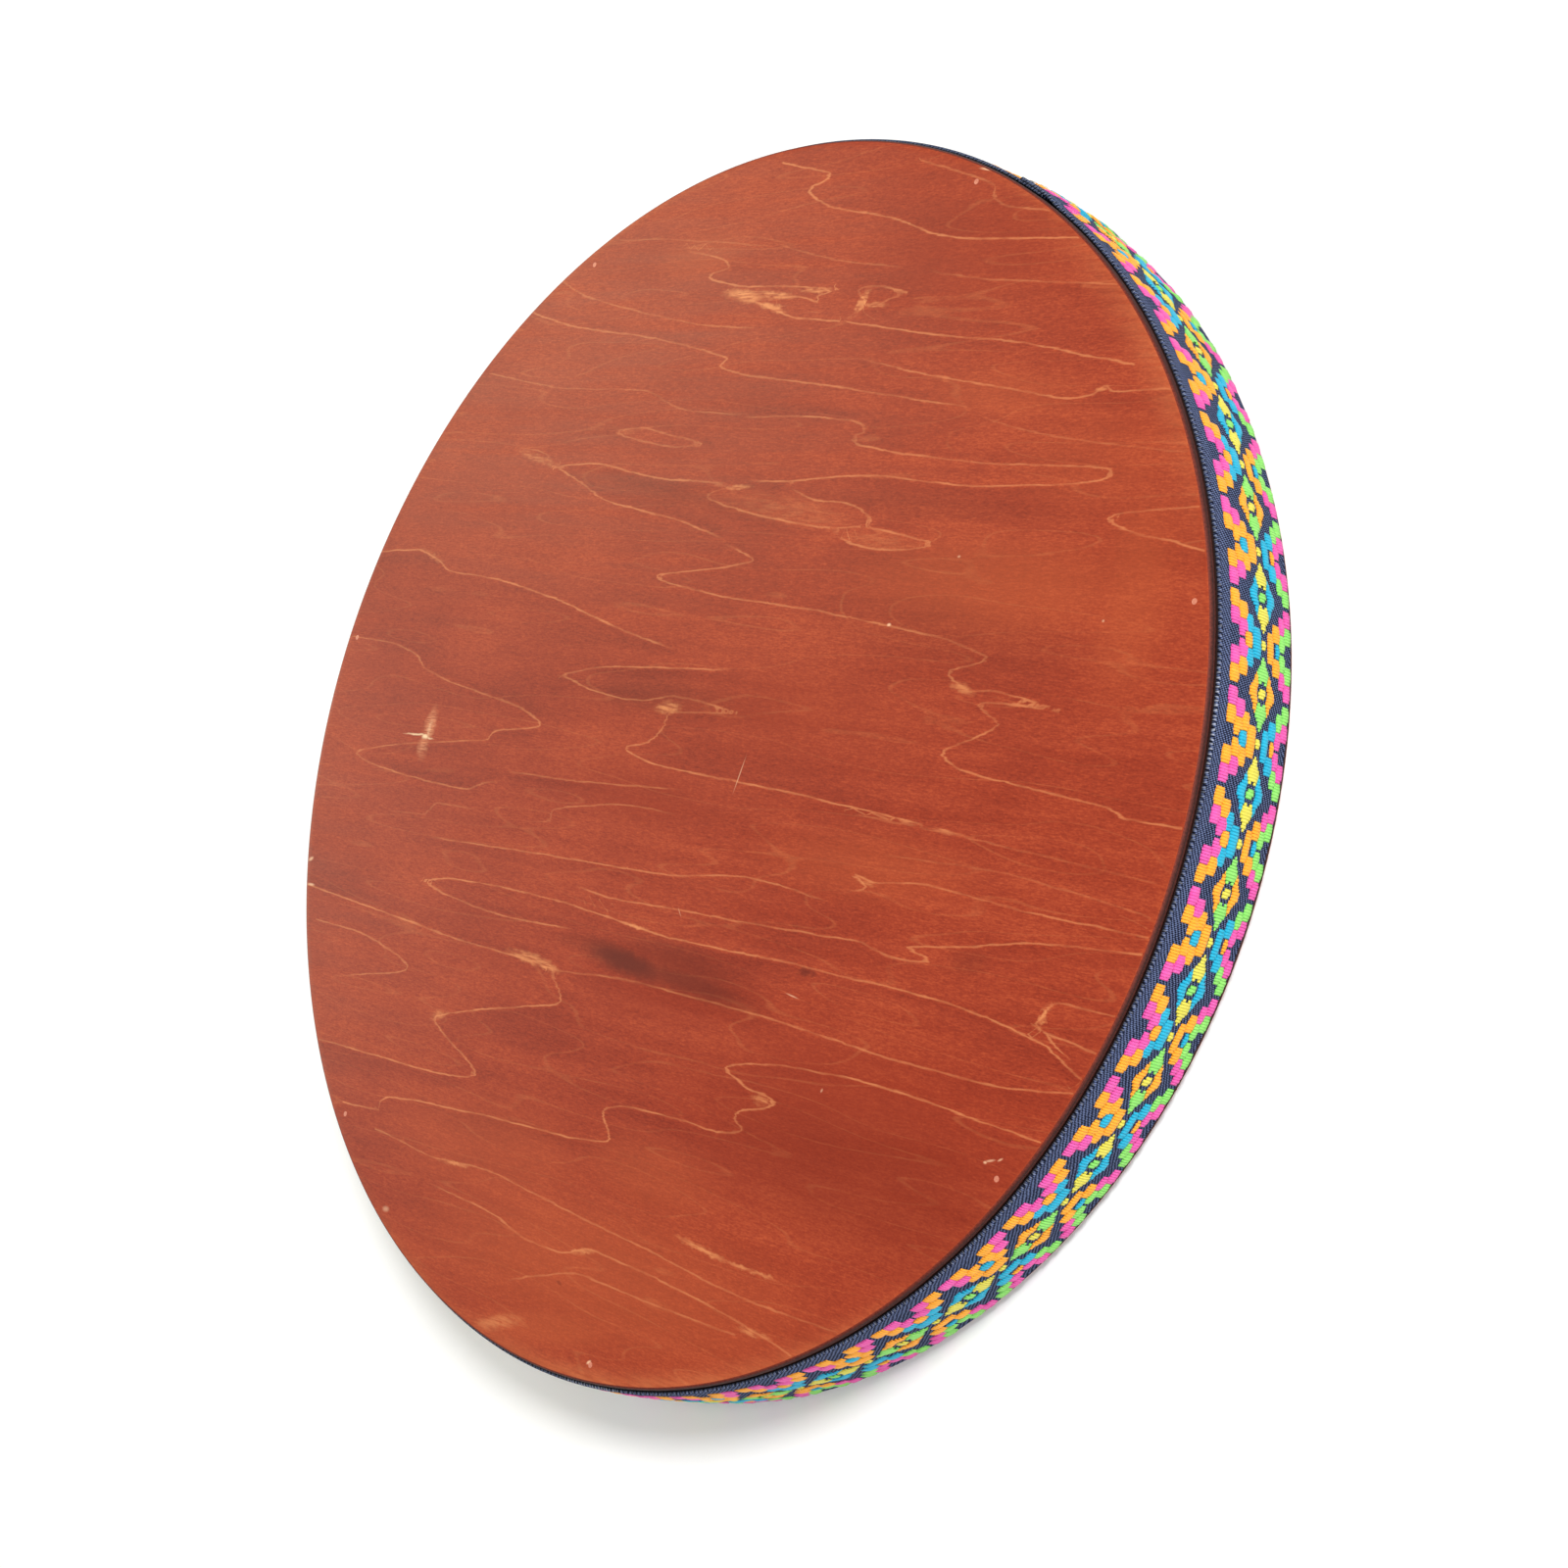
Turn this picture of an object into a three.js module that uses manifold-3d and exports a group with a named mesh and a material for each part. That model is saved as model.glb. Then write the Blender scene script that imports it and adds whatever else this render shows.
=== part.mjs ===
// Rain drum, lying flat: two round plywood boards nailed to a bent wooden hoop, and a woven ribbon
// round the rim. The chamber between the boards is hollow and empty.
// Millimetres, +Z up along the drum's axis, the origin in the middle of the underside.
import * as THREE from 'three';
import { mergeVertices } from 'three/addons/utils/BufferGeometryUtils.js';
import Module from 'manifold-3d';

const wasm = await Module();
wasm.setup();

// Driving dimensions
const boardDiameter = 400; // both boards, sanded flush with the hoop
const boardThickness = 3; // three-ply sheet
const boardArris = 0.6; // rounding of a board's edges
const drumHeight = 38; // underside to top face
const hoopWall = 11; // thickness of the bent strip; the brads go down its middle
const ribbonTopReveal = 2.5; // how much of the top board's edge shows above the ribbon
const ribbonBottomReveal = 1.9; // how much of the bottom board's edge shows below it
const ribbonSelvedge = 0.7; // thickness of the cloth along its two edges
const ribbonCrown = 1.4; // how much thicker it is in the middle, where the floats are woven in
const bradLength = 15;
const bradShank = 1.2; // diameter
const bradTip = 1.8; // length of the point
const bradHead = 1.8; // diameter
const bradHeadThickness = 0.8;
const seatGap = 0.3; // left between pieces that touch

// Where the brads of the top board were driven, in degrees from +X: by hand, so not quite evenly.
// Those of the bottom board are turned on from them by half a step.
const bradAngles = [11, 63.5, 117.5, 167.5, 222, 270.5, 321];
const bottomBradTurn = 180 / bradAngles.length;

// Fineness of the facets
const roundSteps = 96; // sides of every large round piece
const bradSteps = 12; // sides of a brad
const arrisSteps = 3; // along one rounded edge
const crownSteps = 8; // across the ribbon

// Sizes that follow
const boardRadius = boardDiameter / 2;
const topBoardHeight = drumHeight - boardThickness;
const hoopBottom = boardThickness + seatGap;
const hoopHeight = topBoardHeight - seatGap - hoopBottom;
const ribbonWidth = drumHeight - ribbonTopReveal - ribbonBottomReveal;
const ribbonInnerRadius = boardRadius + seatGap;
const bradCircle = boardRadius - hoopWall / 2;

const stainedPlywood = new THREE.MeshStandardMaterial({ color: 0xb84e32, roughness: 0.45, metalness: 0 });
const bentWood = new THREE.MeshStandardMaterial({ color: 0x8a5a3c, roughness: 0.7, metalness: 0 });
const wovenCloth = new THREE.MeshStandardMaterial({ color: 0x3a4870, roughness: 0.9, metalness: 0 });
const filedSteel = new THREE.MeshStandardMaterial({ color: 0xc09080, roughness: 0.5, metalness: 0.6 });

// Turns a half section, given as pairs of radius and height, round the Z axis.
function turned(section, steps) {
  const points = section.map(([radius, height]) => new THREE.Vector2(radius, height));
  return new THREE.LatheGeometry(points, steps).rotateX(Math.PI / 2);
}

// A rounded edge as pairs of radius and height, round a centre and between two angles.
function arrisPoints(centreRadius, centreHeight, fromAngle, toAngle) {
  const points = [];
  for (let step = 0; step <= arrisSteps; step++) {
    const angle = fromAngle + ((toAngle - fromAngle) * step) / arrisSteps;
    points.push([
      centreRadius + boardArris * Math.cos(angle),
      centreHeight + boardArris * Math.sin(angle),
    ]);
  }
  return points;
}

// From the axis out along the lower face, round both edges and back along the upper face.
function boardSection() {
  const edgeCentre = boardRadius - boardArris;
  return [
    [0, 0],
    ...arrisPoints(edgeCentre, boardArris, -Math.PI / 2, 0),
    ...arrisPoints(edgeCentre, boardThickness - boardArris, 0, Math.PI / 2),
    [0, boardThickness],
  ];
}

// The bent strip, a closed rectangle flush with the boards' edges.
function hoopSection() {
  const hoopInner = boardRadius - hoopWall;
  return [
    [hoopInner, 0],
    [boardRadius, 0],
    [boardRadius, hoopHeight],
    [hoopInner, hoopHeight],
    [hoopInner, 0],
  ];
}

// Flat against the rim, crowned outside between its two selvedges.
function ribbonSection() {
  const points = [[ribbonInnerRadius, 0]];
  for (let step = 0; step <= crownSteps; step++) {
    const across = (2 * step) / crownSteps - 1; // -1 at one selvedge, 1 at the other
    const thickness = ribbonSelvedge + ribbonCrown * (1 - across * across);
    points.push([ribbonInnerRadius + thickness, (ribbonWidth * (across + 1)) / 2]);
  }
  points.push([ribbonInnerRadius, ribbonWidth], [ribbonInnerRadius, 0]);
  return points;
}

// A brad hangs down from the top of its head, which is at height 0.
function bradSection() {
  return [
    [0, -bradLength],
    [bradShank / 2, bradTip - bradLength],
    [bradShank / 2, -bradHeadThickness],
    [bradHead / 2, -bradHeadThickness],
    [bradHead / 2, 0],
    [0, 0],
  ];
}

// The hole it fills: the same form, larger by the gap all round, and open above the head.
function bradHoleSection() {
  const shoulder = -bradHeadThickness - seatGap;
  return [
    [0, -bradLength - seatGap],
    [bradShank / 2 + seatGap, bradTip - bradLength],
    [bradShank / 2 + seatGap, shoulder],
    [bradHead / 2 + seatGap, shoulder],
    [bradHead / 2 + seatGap, bradHeadThickness],
    [0, bradHeadThickness],
  ];
}

function asSolid(geometry) {
  const bare = geometry.clone();
  bare.deleteAttribute('normal');
  bare.deleteAttribute('uv');
  const merged = mergeVertices(bare, 1e-3);
  const corners = merged.index.array;
  const triangles = [];
  for (let i = 0; i < corners.length; i += 3) {
    const [a, b, c] = corners.slice(i, i + 3);
    const flat = a === b || b === c || c === a; // on the axis, where a lathe's facets shrink to a line
    if (!flat) triangles.push(a, b, c);
  }
  return new wasm.Manifold(new wasm.Mesh({
    numProp: 3,
    vertProperties: Float32Array.from(merged.attributes.position.array),
    triVerts: Uint32Array.from(triangles),
  }));
}

function asGeometry(solid) {
  const { vertProperties, triVerts } = solid.getMesh();
  const geometry = new THREE.BufferGeometry();
  geometry.setAttribute('position', new THREE.BufferAttribute(vertProperties, 3));
  geometry.setIndex(new THREE.BufferAttribute(triVerts, 1));
  geometry.computeVertexNormals();
  return geometry;
}

function namedMesh(name, geometry, material) {
  const mesh = new THREE.Mesh(geometry, material);
  mesh.name = name;
  return mesh;
}

// One brad at each angle, its head flush with the top face, or with the underside if it is turned over.
function bradRow(label, turn, fromBelow) {
  return bradAngles.map((degrees, index) => {
    const angle = THREE.MathUtils.degToRad(degrees + turn);
    const brad = namedMesh(`${label}_brad_${index + 1}`, turned(bradSection(), bradSteps), filedSteel);
    const height = fromBelow ? 0 : drumHeight;
    brad.position.set(bradCircle * Math.cos(angle), bradCircle * Math.sin(angle), height);
    if (fromBelow) brad.rotation.x = Math.PI;
    brad.updateMatrix();
    return brad;
  });
}

// A turned piece at its height above the underside, with the holes of the brads that reach it.
function woodPiece(name, section, material, height, brads) {
  let solid = asSolid(turned(section, roundSteps));
  for (const brad of brads) {
    const hole = turned(bradHoleSection(), bradSteps).applyMatrix4(brad.matrix).translate(0, 0, -height);
    solid = solid.subtract(asSolid(hole));
  }
  const piece = namedMesh(name, asGeometry(solid), material);
  piece.position.z = height;
  return piece;
}

const topBrads = bradRow('top', 0, false);
const bottomBrads = bradRow('bottom', bottomBradTurn, true);
const ribbon = namedMesh('ribbon', turned(ribbonSection(), roundSteps), wovenCloth);
ribbon.position.z = ribbonBottomReveal;

const drum = new THREE.Group();
drum.add(
  woodPiece('bottom_board', boardSection(), stainedPlywood, 0, bottomBrads),
  woodPiece('hoop', hoopSection(), bentWood, hoopBottom, [...topBrads, ...bottomBrads]),
  woodPiece('top_board', boardSection(), stainedPlywood, topBoardHeight, topBrads),
  ribbon,
  ...topBrads,
  ...bottomBrads,
);

export default drum;
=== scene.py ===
# Rain drum, lying flat: two stained plywood boards nailed to a bent wooden hoop, and a patterned woven
# ribbon round the rim. Blender works in metres; the sizes in the dictionaries below are in millimetres.
import math
import bmesh
import bpy
import numpy as np
from mathutils import Matrix, Vector, kdtree


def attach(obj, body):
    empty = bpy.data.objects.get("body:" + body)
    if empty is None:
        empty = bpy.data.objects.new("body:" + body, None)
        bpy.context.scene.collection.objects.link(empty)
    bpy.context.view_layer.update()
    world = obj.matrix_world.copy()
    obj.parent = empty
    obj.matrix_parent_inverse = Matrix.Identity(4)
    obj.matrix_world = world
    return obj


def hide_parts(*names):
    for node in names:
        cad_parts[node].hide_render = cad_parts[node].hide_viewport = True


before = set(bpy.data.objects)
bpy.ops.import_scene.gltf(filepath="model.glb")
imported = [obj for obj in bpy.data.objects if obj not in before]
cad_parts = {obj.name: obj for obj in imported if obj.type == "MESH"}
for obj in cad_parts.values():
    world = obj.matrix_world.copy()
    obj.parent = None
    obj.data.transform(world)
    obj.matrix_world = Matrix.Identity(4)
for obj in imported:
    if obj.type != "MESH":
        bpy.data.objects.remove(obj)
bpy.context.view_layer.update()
mm = 0.001

view = {
    "place": (637.3, -141.6, 609.1),  # the camera, in millimetres
    "right": (0.70316, 0.15603, -0.69371),  # the drum lies flat, and the camera is rolled as in the picture
    "up": (0, 0.97563, 0.21944),
    "lens": 63,
    "sensor": 36,
}

cameraData = bpy.data.cameras.new("camera")
cameraData.lens = view["lens"]
cameraData.sensor_width = view["sensor"]
camera = bpy.data.objects.new("camera", cameraData)
bpy.context.scene.collection.objects.link(camera)
right, up = Vector(view["right"]).normalized(), Vector(view["up"]).normalized()
turn = Matrix((right, up, right.cross(up))).transposed().to_4x4()
camera.matrix_world = Matrix.Translation(Vector(view["place"]) * mm) @ turn
bpy.context.scene.camera = camera
bpy.context.scene.view_settings.view_transform = "Standard"


# Shader and mesh helpers

def toLinear(hexColour):
    parts = [int(hexColour[i:i + 2], 16) / 255 for i in (1, 3, 5)]
    return [((c + 0.055) / 1.055) ** 2.4 if c > 0.04045 else c / 12.92 for c in parts] + [1]


def addNode(tree, kind, values=None, ramp=None, output=0, **settings):
    # one shader node with its settings and links; it gives back one of its outputs
    made = tree.nodes.new("ShaderNode" + kind)
    for name, value in settings.items():
        setattr(made, name, value)
    for name, value in (values or {}).items():
        if isinstance(value, bpy.types.NodeSocket):
            tree.links.new(value, made.inputs[name])
        else:
            made.inputs[name].default_value = value
    if ramp:  # places along the ramp, each with its hex colour
        for place, colour in ramp[1:-1]:
            made.color_ramp.elements.new(place)
        made.color_ramp.elements[0].position = ramp[0][0]
        made.color_ramp.elements[-1].position = ramp[-1][0]
        for element, (place, colour) in zip(made.color_ramp.elements, ramp):
            element.color = toLinear(colour)
    return made.outputs[output] if made.outputs else made


def newMaterial(name):
    material = bpy.data.materials.new(name)
    material.use_nodes = True
    material.node_tree.nodes.clear()
    return material, material.node_tree


def drawSection(name, points):
    bpy.ops.object.select_all(action="DESELECT")
    bpy.ops.mesh.primitive_plane_add(size=mm)
    piece = bpy.context.object
    piece.name = piece.data.name = name
    bpy.ops.object.mode_set(mode="EDIT")
    bpy.ops.mesh.merge(type="CENTER")
    place = Vector((0, 0, 0))
    for number, (radius, height) in enumerate(points):
        target = Vector((radius, 0, height)) * mm
        if number == 0:
            bpy.ops.transform.translate(value=target)
        else:
            bpy.ops.mesh.extrude_region_move(TRANSFORM_OT_translate={"value": target - place})
        place = target
    return piece


def splitSection(piece, height, pieces):
    # the long edges at one height are cut into even pieces, before the section is spun
    mesh = bmesh.from_edit_mesh(piece.data)
    bpy.ops.mesh.select_all(action="DESELECT")
    bpy.ops.mesh.select_mode(type="EDGE")
    for edge in mesh.edges:
        level = all(abs(vert.co.z - height * mm) < 1e-6 for vert in edge.verts)
        edge.select_set(level and edge.calc_length() > 50 * mm)
    bmesh.update_edit_mesh(piece.data)
    bpy.ops.mesh.subdivide(number_cuts=pieces - 1)
    bpy.ops.mesh.select_mode(type="VERT")


def spinSection(piece, steps):
    bpy.ops.mesh.select_all(action="SELECT")
    bpy.ops.mesh.spin(steps=steps, angle=2 * math.pi, center=(0, 0, 0), axis=(0, 0, 1))
    bpy.ops.mesh.select_all(action="SELECT")
    bpy.ops.mesh.remove_doubles(threshold=1e-6)
    bpy.ops.mesh.normals_make_consistent(inside=False)
    bpy.ops.object.mode_set(mode="OBJECT")
    bpy.ops.object.shade_smooth_by_angle(angle=math.radians(50))
    return piece


def meshFromCorners(name, places, faces):
    mesh = bpy.data.meshes.new(name)
    mesh.from_pydata((np.asarray(places) * mm).tolist(), [], faces)
    mesh.update()
    piece = bpy.data.objects.new(name, mesh)
    bpy.context.scene.collection.objects.link(piece)
    mesh.shade_smooth()
    return piece


def addValues(piece, name, values):
    attribute = piece.data.attributes.new(name, "FLOAT", "POINT")
    attribute.data.foreach_set("value", np.asarray(values, dtype=np.float32).ravel())


def vertexPlaces(piece):
    places = np.zeros(len(piece.data.vertices) * 3)
    piece.data.vertices.foreach_get("co", places)
    return places.reshape(-1, 3) / mm


def finishPiece(piece, slot, material, *replaced):
    if not piece.data.materials:
        piece.data.materials.append(material)
    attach(piece, "root")
    if replaced:
        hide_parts(*replaced)
    print("made", piece.name, len(piece.data.polygons), "faces")


# The boards: three-ply, its outer veneers rotary-cut, so that the growth rings show as long loops

board = {
    "radius": 200,
    "thickness": 3,
    "topArris": 1.2,
    "bottomArris": 0.5,
    "arrisSteps": 5,
    "height": 38,  # of the whole drum
    "faceRings": 140,  # the face carries its figure as values at its corners, so it is finely divided
    "steps": 600,
}

figure = {
    "step": 0.4,  # between the places that are worked out on a ring line
    "sparse": 6,  # one in so many of them is enough to find the next line
    "fade": 10,  # length over which a line thins out towards an open end
    "rimEnd": 18,  # an end that is closer than this to the rim isn't open
    "shade": 24,  # how far the darker wood reaches from a line at most
    "shadeFall": 9,
    "apart": 5,  # the shade is gone halfway to the next line, and begins to go this far before
    "far": 60,  # what a corner carries where it isn't on the face
}

# Growth-ring lines of the face: strength, the side where the wood is darker (1 left, -1 right), points
faceFigure = [
    (1.0, -1, [(-187, 74.6), (-161, 73.8), (-150, 69.4), (-140, 64.4), (-110, 59.4), (-75, 50), (-42, 38.8),
               (-15, 31.3)]),
    (0.8, 1, [(-192, 42.5), (-167, 38.8), (-151, 33.8), (-145, 28.8), (-125, 22.5), (-86, 13), (-75, 7),
              (-100, 5.3), (-103, 2.5), (-150, 1.5), (-178, -1), (-170, -4.8), (-146, -9.8), (-109, -15),
              (-101, -13), (-92, -12.3)]),
    (0.6, -1, [(-89, -8.8), (-75, -10), (-50, -12.3), (0, -15)]),
    (0.9, -1, [(-92, 99.5), (-67, 97.8), (-37, 90.6), (0, 85.6)]),
    (0.9, 1, [(-92, 99.5), (-75, 91.6), (-61, 84.4), (-25, 75.6), (0, 67.5)]),
    (0.5, 0, [(-117, 108.8), (-100, 105), (-92, 100)]),
    (0.5, 1, [(-58, 107), (-62, 109), (-50, 109), (-37, 106), (-18, 100.5), (-33, 101), (-58, 107)]),
    (0.6, 0, [(-106, 168.8), (-90, 160.6), (-60, 151.3), (-25, 142), (0, 138)]),
    (0.8, 0.6, [(-120, 159), (-106, 153.8), (-88, 148.8), (-50, 140.6), (-12, 129), (-15.6, 126.9),
                (-7.5, 123.8), (0, 121.9), (44, 113), (100, 100.6)]),
    (0.5, 0, [(-137, 138), (-100, 128.8), (-50, 122), (-31, 113.8), (0, 108.8)]),
    (0.4, 0, [(-80, 180), (-50, 176), (0, 166)]),
    (0.9, 0.6, [(-42, 170.6), (-25, 165.6), (-18.5, 161.5), (-29, 160), (-19, 156), (-10.7, 153.7),
                (4.6, 151.8), (17, 149.8), (33, 146.9)]),
    (0.8, 0, [(33, 146.9), (25.5, 145.5), (26, 143.6), (18.6, 146.2), (9.8, 147.2), (2.5, 147.8), (1, 146)]),
    (0.9, -0.5, [(-16.5, 152.2), (-8.2, 149), (1, 146), (7, 143), (16, 139.7), (30, 137), (50, 133),
                (80, 126),
                 (112, 120), (142, 112), (157, 108)]),
    (0.9, 1, [(38, 136), (43.5, 137.8), (47.5, 139.5), (46.2, 142.2), (42.8, 144.8), (45.4, 145.9),
                (51, 145.5),
              (58, 143.8), (64.5, 141.3), (58.5, 140.6), (52.6, 138.8), (47.8, 138.4)]),
    (1.0, 0.6, [(0, 195), (15, 190), (22.9, 186.5), (13, 183.5), (17, 180), (25, 175.6), (50, 168.8),
                (75, 158.8), (100, 153.8), (137, 149)]),
    (0.6, 0, [(62, 185), (85, 176.3), (96, 171), (94, 168.8), (100, 164.4), (125, 158)]),
    (0.4, 0, [(0, 167.5), (25, 158.8), (62, 150)]),
    (0.5, 0, [(72, 147.5), (100, 141), (150, 132.5)]),
    (0.8, -0.5, [(50, 121.9), (75, 114.4), (100, 108.5), (135, 100.3), (145, 100.3), (149, 102.5),
                 (152, 100.6), (175, 98.8)]),
    (0.9, 1, [(0, 108), (25, 105.6), (51, 101.5), (57, 98), (51, 96.3), (54, 93.8), (75, 88.8), (112, 82.5),
              (148, 78.6), (154.5, 77.6), (156.5, 76), (153.5, 74.3), (137, 74.2), (100, 77), (62, 83),
              (25, 84.4), (5, 86)]),
    (0.9, 1, [(27, 82), (39, 77.2), (52.5, 75.2), (62, 71), (64.6, 68.6), (60.5, 67.2), (47.6, 67.6),
              (34, 69.8), (14.7, 73.9), (-6.3, 80), (-11.7, 82.6), (-1, 84.6)]),
    (0.9, -1, [(48, 67.4), (53.8, 63.7), (61.3, 60.9), (72.2, 58.9), (84.7, 58.5), (92, 59.4), (82.5, 62.2),
               (71.5, 65.1), (61, 67.2)]),
    (0.8, -0.6, [(190, 63.8), (170, 64), (156.9, 62.9), (167, 58), (181, 54.4), (195, 50)]),
    (0.9, 0.6, [(0, 66), (6, 63.8), (15.6, 59), (0, 57.5), (-28.8, 56.3), (0, 48.8), (50, 40.6), (100, 30.6),
                (120, 23.5), (106, 20), (114, 14.4), (125, 13.8), (149.4, 7.8), (127, 10.3), (119, 10),
                (127.5, 3.8), (108, -3.8), (115, -8.8), (150, -15.6), (172, -20), (177, -22.5),
                (198, -25.4)]),
    (0.9, -1, [(-69.4, 24.4), (-50, 26.3), (-12, 25), (14, 23.5)]),
    (1.0, 1, [(-69.4, 24.4), (-50, 18), (-25, 14.4), (-12, 15.6), (10, 11.9), (20, 9.4), (0, 10), (-12, 10),
              (-14, 5), (-20, 0.5), (-30, -1), (-20, -5.6), (0, -9), (50, -16), (92, -23), (125, -28.8)]),
    (0.7, 0, [(-75, -26), (-62, -25.6), (-62, -22.3), (-50, -20.6), (-27, -20), (0, -23)]),
    (0.4, 0, [(-152, -23), (-130, -23.5), (-125, -20), (-100, -22)]),
    (0.8, -0.5, [(-125, -31.9), (-50, -38), (0, -42.2), (37, -42.3), (71, -48.5)]),
    (1.0, -1, [(-123.8, -47.3), (-110, -46.3), (-75, -49), (-37, -54.4), (0, -61.3), (62, -68), (125, -76),
               (162, -85.6), (171, -91.3), (176, -94)]),
    (0.9, 1, [(-123.8, -47.3), (-112, -51.3), (-81, -57.5), (-41, -61.5)]),
    (1.0, 1, [(-192, -50.6), (-150, -57.8), (-100, -66.9), (-67, -71.3), (-50, -75), (-41, -85),
              (-75, -89), (-105, -93.8), (-100, -98), (-77.5, -111.3), (-95, -112.5), (-167, -105.6)]),
    (0.8, -0.5, [(-50, -75), (-12, -76.3), (25, -80.6), (62, -85.6), (107, -93), (150, -97.8), (175, -97.5)]),
    (0.7, 0, [(-182, -63), (-150, -68), (-123.8, -78), (-162, -82.5)]),
    (1.0, -0.8, [(-146, -126.3), (-126, -127), (-127, -125), (-122, -122.3), (-75, -123.8), (-25, -127.3),
                 (-7, -126.3), (-12, -118), (-5, -115.6), (22, -117.2), (36, -119.2), (46, -119.4),
                 (51.4, -118), (48.3, -116.2), (47.2, -114.2), (49.5, -112.4), (58.3, -111), (62.6, -109),
                 (57.4, -107.1), (51, -106), (46.9, -104), (42, -102.2), (39.6, -100.4), (43, -99.2),
                 (50, -98.4), (62, -98), (100, -100.6), (150, -108.8), (166, -111.3)]),
    (0.7, 0, [(-125, -133.8), (-92, -140), (-65, -141.3), (-30, -148), (12, -156.3), (62, -166.3),
              (100, -170.6)]),
    (0.8, -0.5, [(-92, -148.8), (-56, -155), (-40, -160.6), (-20, -162.9), (-7, -160.6), (25, -165.6),
                 (62, -173), (86, -179.8)]),
    (0.7, 0, [(-44, -174.4), (-25, -170.6), (-10, -168.5), (25, -173), (60, -176.9)]),
    (0.9, -0.5, [(186, -76.2), (174, -74.7), (164.6, -73.6), (161.2, -74.4), (159.5, -77), (157.6, -80.2),
                 (161, -82), (169.3, -83.8), (181, -86.9)]),
    (0.8, 0.6, [(195, -59.4), (150, -57.8), (125, -60), (106, -61), (116, -64.4), (100, -64), (86, -59.8),
                (50, -57.3), (0, -52.5), (-8.4, -52.1), (-27.2, -50.1), (-42.9, -47)]),
    (0.8, 0, [(75, -46.3), (86, -44), (80, -40.3), (89, -42.3), (109, -42.5), (144, -48.5), (192, -54.8)]),
    (0.4, 0, [(102, 98), (131, 89.4), (180, 80)]),
    (0.35, 0, [(75, -22), (130, -30), (190, -40)]),
    (0.35, 0, [(90, -34), (140, -39), (190, -49)]),
]


def smoothLine(points):
    # a curve through the points that stays sharp where the line turns back
    points = np.asarray(points, dtype=float)
    steps = np.diff(points, axis=0)
    lengths = np.maximum(np.linalg.norm(steps, axis=1), 1e-6)
    ways = steps / lengths[:, None]
    tangents = np.vstack([ways[:1], (ways[:-1] + ways[1:]) / 2, ways[-1:]])
    reach = np.concatenate([lengths[:1], np.minimum(lengths[:-1], lengths[1:]), lengths[-1:]])
    tangents = tangents * reach[:, None]
    curve = []
    for number, length in enumerate(lengths):
        t = np.arange(0, 1, figure["step"] / length)[:, None]
        curve.append((2 * t**3 - 3 * t**2 + 1) * points[number] + (t**3 - 2 * t**2 + t) * tangents[number]
                     + (3 * t**2 - 2 * t**3) * points[number + 1] + (t**3 - t**2) * tangents[number + 1])
    return np.vstack(curve + [points[-1:]])


def carryFigure(piece, lines, height):
    # how far each corner of the face is from the nearest ring line, and on which side of it
    places = vertexPlaces(piece)
    ends = [end for _, _, points in lines for end in (points[0], points[-1])]
    samples, normals, traits = [], [], []
    for number, (strength, darkSide, points) in enumerate(lines):
        curve = smoothLine(points)
        way = np.gradient(curve, axis=0)
        way /= np.maximum(np.linalg.norm(way, axis=1), 1e-9)[:, None]
        along = np.arange(len(curve)) * figure["step"]
        fade = np.ones(len(curve))
        for end, reached in ((points[0], along), (points[-1], along[::-1])):
            if ends.count(end) == 1 and math.hypot(*end) < board["radius"] - figure["rimEnd"]:
                fade = np.minimum(fade, np.clip(reached / figure["fade"], 0, 1))
        samples.append(curve)
        normals.append(np.stack([-way[:, 1], way[:, 0]], axis=1) * (-1 if darkSide < 0 else 1))
        traits += [(strength * share, abs(darkSide), number) for share in fade]
    samples, normals, traits = np.vstack(samples), np.vstack(normals), np.array(traits)
    tree, sparse = kdtree.KDTree(len(samples)), kdtree.KDTree(len(samples) // figure["sparse"] + 1)
    for number, (x, y) in enumerate(samples):
        tree.insert((x, y, 0), number)
        if number % figure["sparse"] == 0:
            sparse.insert((x, y, 0), number)
    tree.balance()
    sparse.balance()
    onFace = np.abs(places[:, 2] - height) < 0.01
    signed, reach = (np.full(len(places), float(figure["far"])) for _ in range(2))
    strength, dark, tooth = (np.zeros(len(places)) for _ in range(3))
    for number in np.flatnonzero(onFace):
        x, y = places[number, :2]
        nearest = tree.find((x, y, 0))[1]
        away = places[number, :2] - samples[nearest]
        distance = float(np.hypot(*away))
        across = float(away @ normals[nearest])
        signed[number] = across if abs(across) > 0.3 * distance else math.copysign(distance, across)
        reach[number] = distance
        strength[number] = traits[nearest, 0]
        tooth[number] = 0.2 + 0.8 * abs(normals[nearest, 0])
        if traits[nearest, 1] and distance < figure["shade"]:
            other = distance + figure["apart"]
            for _, index, gap in sparse.find_range((x, y, 0), other):
                if traits[index, 2] != traits[nearest, 2] or normals[index] @ normals[nearest] < -0.5:
                    other = min(other, gap)
            apart = (other - distance) / figure["apart"]
            fall = math.exp(-distance / figure["shadeFall"])
            dark[number] = traits[nearest, 1] * fall * (1 - distance / figure["shade"]) * apart
    for name, values in (("ringSide", signed), ("ringReach", reach), ("ringStrength", strength),
                         ("ringDark", dark), ("ringTooth", tooth)):
        addValues(piece, name, values)


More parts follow.
